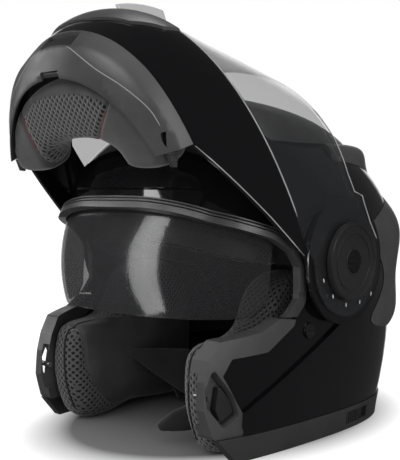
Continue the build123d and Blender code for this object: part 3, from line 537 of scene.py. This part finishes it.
def rounded(points, radius, steps=6):
    """A bent line with its corners rounded."""
    line = [Vector(points[0])]
    for before, corner, after in zip(points, points[1:], points[2:]):
        before, corner, after = Vector(before), Vector(corner), Vector(after)
        into, out = (corner - before).normalized(), (after - corner).normalized()
        reach = radius * math.tan(into.angle(out) / 2)
        start, end = corner - into * reach, corner + out * reach
        for k in range(steps + 1):
            t = k / steps
            line.append(start.lerp(corner, t).lerp(corner.lerp(end, t), t))
    return line + [Vector(points[-1])]


def strap(hand, side, points):
    """A band of webbing with thick selvedges, along points of x and z in the strap's plane."""
    strap_y, corner_radius = -11.0, 9.0
    top = ((-12.0, 0.2), (-11.6, 0.8), (-10.7, 0.95), (-9.9, 0.72), (-3.4, 0.7), (3.4, 0.7),
           (9.9, 0.72), (10.7, 0.95), (11.6, 0.8), (12.0, 0.2))
    section = [*top, *((a, -b) for a, b in reversed(top))]
    line = [Vector((side * x, strap_y, z)) * MM for x, z in rounded(points, corner_radius)]
    across = Vector((0, 1, 0))
    bm = bmesh.new()
    rings = []
    for k, point in enumerate(line):
        up = run_at(line, k).cross(across).normalized()
        rings.append([bm.verts.new(point + across * a * MM + up * b * MM) for a, b in section])
    skinned(bm, rings)
    obj = closed_piece("webbing_" + hand, bm, "helmet", M["webbing"])
    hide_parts("strap_" + hand)


def bead(bm, start, end, radius):
    """A short rounded thread from start to end."""
    run = end - start
    turn = run.to_track_quat("Z", "Y").to_matrix().to_4x4()
    size = Matrix.Diagonal((radius, radius, run.length / 2 + radius, 1))
    place = Matrix.Translation((start + end) / 2) @ turn @ size
    bmesh.ops.create_icosphere(bm, subdivisions=2, radius=1.0, matrix=place)


def ridge(name, line, radius, body, material, sides=8, end_share=0.35):
    """A fine rounded ridge along a line on the surface, thinner at both ends."""
    bm = bmesh.new()
    rings, across = [], Vector((0, 0, 1))
    for k, point in enumerate(line):
        run = run_at(line, k)
        across = (across - run * across.dot(run)).normalized()
        up = run.cross(across)
        size = radius * (end_share if k in (0, len(line) - 1) else 1.0)
        turns = (math.tau * j / sides for j in range(sides))
        rings.append([bm.verts.new(point + (across * math.cos(a) + up * math.sin(a)) * size)
                      for a in turns])
    skinned(bm, rings)
    closed_piece(name, bm, body, material)


def chin_stitches():
    """Red thread across both ends of the chin pad's mesh, lying on the cushion."""
    tree = surface_of(pads["chin"])
    up = (lifted(0, 0, 1) - lifted(0, 0, 0)).normalized()
    count, below_z, sunk, longest, thread = 9, 5.0, 0.15 * MM, 6 * MM, 0.4 * MM
    runs = {"left": ((24.0, -137.0), (42.0, -159.0)), "right": ((-46.5, -133.0), (-50.5, -159.0))}
    for hand, (near, far) in runs.items():
        bm = bmesh.new()
        for k in range(count):
            ends = []
            for share in (k / count + 0.012, (k + 0.7) / count):
                x = near[0] + (far[0] - near[0]) * share
                y = near[1] + (far[1] - near[1]) * share
                hit = tree.ray_cast(lifted(x, y, below_z), up)[0]
                if hit:
                    ends.append(hit - up * sunk)
            if len(ends) == 2 and (ends[0] - ends[1]).length < longest:
                bead(bm, ends[0], ends[1], thread)
        closed_piece("chin_stitch_" + hand, bm, "chin_bar", M["red_thread"])


def piping(hand, side):
    """Black piping down the front of a cheek pad, between its two bands of mesh."""
    tree = surface_of(pads[hand])
    first, step, count = Vector((67.0, -200.0, 10.0)), Vector((0.05, 0, 2.1)), 34
    line = []
    for k in range(count):
        start = (first + step * k) * MM
        start.x *= side
        hit = tree.ray_cast(start, Vector((0, 1, 0)))[0]
        if hit:
            line.append(hit)
    ridge("cheek_piping_" + hand, line, 1.0 * MM, "helmet", M["piping"])


def shield_marks():
    """Small pale marks in the shield, in an arc in front of and below its hinge."""
    tree = surface_of(nodes["face_shield"])
    # radius in mm and angle in degrees about the hinge, from the rear
    spots = ((66.7, 150.4), (55.4, 162.4), (43.5, 176.7), (34.0, 200.0), (31.5, 229.0),
             (31.5, 262.0), (33.5, 293.5), (38.5, 317.5))
    half_length, radius_of_mark, proud = 1.3 * MM, 0.35 * MM, 0.05 * MM
    for hand, side in HANDS:
        bm = bmesh.new()
        for radius, angle in spots:
            turn = math.radians(angle)
            y, z = radius * math.cos(turn), PIVOT_Z + radius * math.sin(turn)
            along = Vector((0, -math.cos(turn) * 0.3, -1)).normalized() * half_length
            start = Vector((side * 0.3, y * MM, z * MM))
            hit = tree.ray_cast(start, Vector((-side, 0, 0)))[0]
            if hit and abs(hit.x) > 0.1:
                middle = hit + Vector((side * proud, 0, 0))
                bead(bm, middle - along, middle + along, radius_of_mark)
        closed_piece("shield_marks_" + hand, bm, "face_shield", M["pale_mark"])


def smooth_line(points, per):
    """A curve through the points, with so many steps for each span."""
    line = []
    for k in range(len(points) - 1):
        p0, p1, p2, p3 = (points[max(0, min(len(points) - 1, k + j))] for j in (-1, 0, 1, 2))
        for step in range(per):
            t = step / per
            line.append(0.5 * (2 * p1 + (p2 - p0) * t + (2 * p0 - 5 * p1 + 4 * p2 - p3) * t * t
                               + (3 * p1 - p0 - 3 * p2 + p3) * t * t * t))
    return line + [points[-1]]


def spaced(places, per=6):
    """The straight spans between the places, each cut into so many steps."""
    flat = [Vector((y, z)) for y, z in places]
    return [a.lerp(b, t / per) for a, b in zip(flat, flat[1:]) for t in range(per)] + [flat[-1]]


def side_hits(tree, places, side):
    """Where the side view points of the shut front lie on the surface, on one side."""
    far_x, least_x = 300.0, 30 * MM
    hits = []
    for y, z in places:
        hit = tree.ray_cast(lifted(side * far_x, y, z), Vector((-side, 0, 0)))[0]
        if hit and hit.x * side > least_x:
            hits.append(hit)
    return hits


def lower_edge(tree):
    """The shield's lower edge, met by rays that fan out from the middle of the head."""
    centre, steps, half_fan = lifted(0, -40.0, 94.5), 60, 84
    line = []
    for step in range(steps + 1):
        turn = math.radians(-half_fan + 2 * half_fan * step / steps)
        away = (lifted(math.sin(turn), -math.cos(turn), 0) - lifted(0, 0, 0)).normalized()
        hit = tree.ray_cast(centre + away * 0.4, -away)[0]
        if hit and (hit - centre).dot(away) > 0.05:
            line.append(hit)
    return line


def lip_crease(tree, side):
    """The crease round the lip, from near the middle to the hook's slot."""
    crease = ((5.0, -204.0, 35.0), (24.0, -198.0, 30.0), (44.0, -188.0, 27.5),
              (63.0, -172.0, 29.0), (76.0, -155.0, 31.0), (81.5, -143.5, 30.7))
    middle_y, start_off, reach = -70.0, 30 * MM, 20 * MM
    line = []
    for point in smooth_line([Vector((side * x, y, z)) for x, y, z in crease], per=4):
        target = lifted(*point)
        away = (target - lifted(0, middle_y, point.z)).normalized()
        hit = tree.ray_cast(target + away * start_off, -away)[0]
        if hit and (hit - target).length < reach:
            line.append(hit)
    return line


def front_lines():
    """Pale ridges along the edges of the shield and the arms, and along the crease round the lip:
    painted highlights on those edges.
    """
    shield, bar, lip = (surface_of(nodes[n]) for n in ("face_shield", "chin_bar_shell", "chin_lip"))
    ridge("shield_lower_edge_highlight", lower_edge(shield), 0.5 * MM, "face_shield",
          M["painted_highlight_edge"])
    rear = spaced(((0.5, 171.0), (-14.0, 167.6), (-34.0, 165.2), (-54.0, 166.2), (-79.0, 175.4),
                   (-104.0, 179.0)))
    arm = spaced(((-125.0, 43.6), (-61.0, 74.4), (-25.0, 90.0)))
    for hand, side in HANDS:
        ridge("shield_rear_edge_highlight_" + hand, side_hits(shield, rear, side), 0.45 * MM, "face_shield",
              M["painted_highlight_edge"])
        ridge("arm_edge_highlight_" + hand, side_hits(bar, arm, side), 0.4 * MM, "chin_bar",
              M["painted_highlight_edge"])
        ridge("lip_crease_highlight_" + hand, lip_crease(lip, side), 0.4 * MM, "chin_bar",
              # The lip's crease ridge is lighter than the satin trim: a painted highlight.
              M["painted_highlight_crease"])


strap_start = ((88.0, 58.0), (60.0, 46.0))
strap("left", 1, strap_start + ((44.0, 24.0), (28.0, 9.0), (15.0, 8.6)))
strap("right", -1, strap_start + ((41.0, 29.0), (29.5, 12.0)))
chin_stitches()
for hand, side in HANDS:
    piping(hand, side)
shield_marks()
front_lines()


# ---------------------------------------------------------------- floor, light and camera
def floor():
    """White paper made to glow, save in an oval under the helmet where the glow fades out: a painted
    shadow, which the real shadow deepens.
    """
    half_side, drop, shadow_oval = 6.0, 0.2 * MM, (0.1, 0.136)
    mesh = bpy.data.meshes.new("floor")
    bm = bmesh.new()
    bmesh.ops.create_grid(bm, x_segments=8, y_segments=8, size=half_side)
    bm.to_mesh(mesh)
    bm.free()
    obj = bpy.data.objects.new("floor", mesh)
    scene.collection.objects.link(obj)
    s = Shader("floor_paper_painted_shadow")
    size = s.node("VectorMath")
    size.operation = "LENGTH"
    s.wire(s.place((1 / shadow_oval[0], 1 / shadow_oval[1], 0)), size.inputs[0])
    half = s.math("MULTIPLY", size.outputs["Value"], 0.5)
    mesh.materials.append(s.set(
        Base_Color=s.ramp(s.noise(3), ((0.3, 0.3), (0.7, 0.32))),
        Roughness=0.9,
        # Painted shadow: no glow inside the oval under the helmet, rising to full glow outside it.
        Emission_Color=s.ramp(half, ((0.5, 0.0), (0.56, 0.45), (0.66, 1.0))),
        Emission_Strength=0.85,
    ))
    obj.location.z = -drop
    obj.visible_glossy = False


def world():
    """White to the eye, a bright room to matt surfaces, and to gloss a dark one with a pale backdrop."""
    behind = (-0.685, 0.727, 0.04)
    made = bpy.data.worlds.new("studio")
    scene.world = made
    made.use_nodes = True
    tree = made.node_tree
    tree.nodes.clear()
    new, link = tree.nodes.new, tree.links.new
    white, room, dark = (new("ShaderNodeBackground") for k in range(3))
    for back, strength in ((white, 1.0), (room, 0.85)):
        back.inputs["Color"].default_value = (1, 1, 1, 1)
        back.inputs["Strength"].default_value = strength
    facing = new("ShaderNodeVectorMath")
    facing.operation = "DOT_PRODUCT"
    facing.inputs[1].default_value = behind
    backdrop = new("ShaderNodeValToRGB")
    stops = ((0.86, (0.05, 0.05, 0.052, 1)), (0.95, (0.9, 0.9, 0.9, 1)))
    for element, (place, colour) in zip(backdrop.color_ramp.elements, stops):
        element.position = place
        element.color = colour
    link(new("ShaderNodeTexCoord").outputs["Generated"], facing.inputs[0])
    link(facing.outputs["Value"], backdrop.inputs["Fac"])
    link(backdrop.outputs["Color"], dark.inputs["Color"])
    path = new("ShaderNodeLightPath")
    last = white
    for ray, background in (("Is Diffuse Ray", room), ("Is Glossy Ray", dark)):
        mix = new("ShaderNodeMixShader")
        link(path.outputs[ray], mix.inputs["Fac"])
        link(last.outputs[0], mix.inputs[1])
        link(background.outputs[0], mix.inputs[2])
        last = mix
    link(last.outputs[0], new("ShaderNodeOutputWorld").inputs["Surface"])


def area(name, place, target, size, power, lit):
    """A soft box that lights one set of pieces."""
    light = bpy.data.lights.new(name, "AREA")
    light.shape = "RECTANGLE"
    light.size, light.size_y = size
    light.energy = power
    obj = bpy.data.objects.new(name, light)
    obj.location = place
    obj.rotation_euler = (Vector(target) - Vector(place)).to_track_quat("-Z", "Y").to_euler()
    scene.collection.objects.link(obj)
    obj.light_linking.receiver_collection = sets[lit]


def camera():
    """The photograph's camera: 902 pixels of focal length on a picture 460 pixels high."""
    focal_px, height_px, sensor = 902, 460, 36.0
    data = bpy.data.cameras.new("camera")
    obj = bpy.data.objects.new("camera", data)
    scene.collection.objects.link(obj)
    scene.camera = obj
    data.sensor_width = sensor
    data.sensor_fit = "AUTO"
    data.lens = focal_px * sensor / height_px
    data.clip_start = 0.02
    turn, pitch, roll = math.radians(43.3), math.radians(-2.72), math.radians(0.1)
    obj.location = (0.493, -0.5495, 0.186)
    obj.rotation_euler = (math.pi / 2 + pitch, roll, turn)


# The painted and clear pieces have soft boxes of their own, so their reflections stay few and sharp.
SKINS = ("outer_shell", "chin_bar_shell", "face_shield", "shield_tab")
sets = {name: bpy.data.collections.new(name + "_pieces") for name in ("gloss", "rest", "skins")}
glossy = {nodes[n].name for n in (*SKINS, "sun_visor")}
for obj in list(scene.objects):
    if obj.type == "MESH":
        sets["gloss" if obj.name in glossy else "rest"].objects.link(obj)
sets["gloss"].objects.link(nodes["eye_port_seal"])
for name in SKINS:
    sets["skins"].objects.link(nodes[name])

scene.view_settings.view_transform = "Standard"
floor()
world()
camera()
for light in (
    # name, place, target, size, watts and the pieces that it lights
    ("key", (0.2, -1.5, 1.6), (0, 0, 0.15), (1.2, 1.2), 21, "rest"),
    ("side", (1.7, -0.2, 0.9), (0, 0, 0.15), (0.5, 1.6), 13, "rest"),
    ("fill", (-1.6, -0.9, 0.7), (0, 0, 0.15), (0.6, 1.4), 11, "rest"),
    ("top", (0.1, 0.3, 1.9), (0, 0, 0.2), (1.4, 0.7), 12, "rest"),
    ("strip", (-0.76, -1.38, 0.2), (0.03, -0.11, 0.14), (0.5, 2.1), 14, "gloss"),
    ("edges", (0.3, -2.1, 0.25), (0.05, -0.05, 0.2), (0.5, 1.5), 14, "skins"),
):
    area(*light)
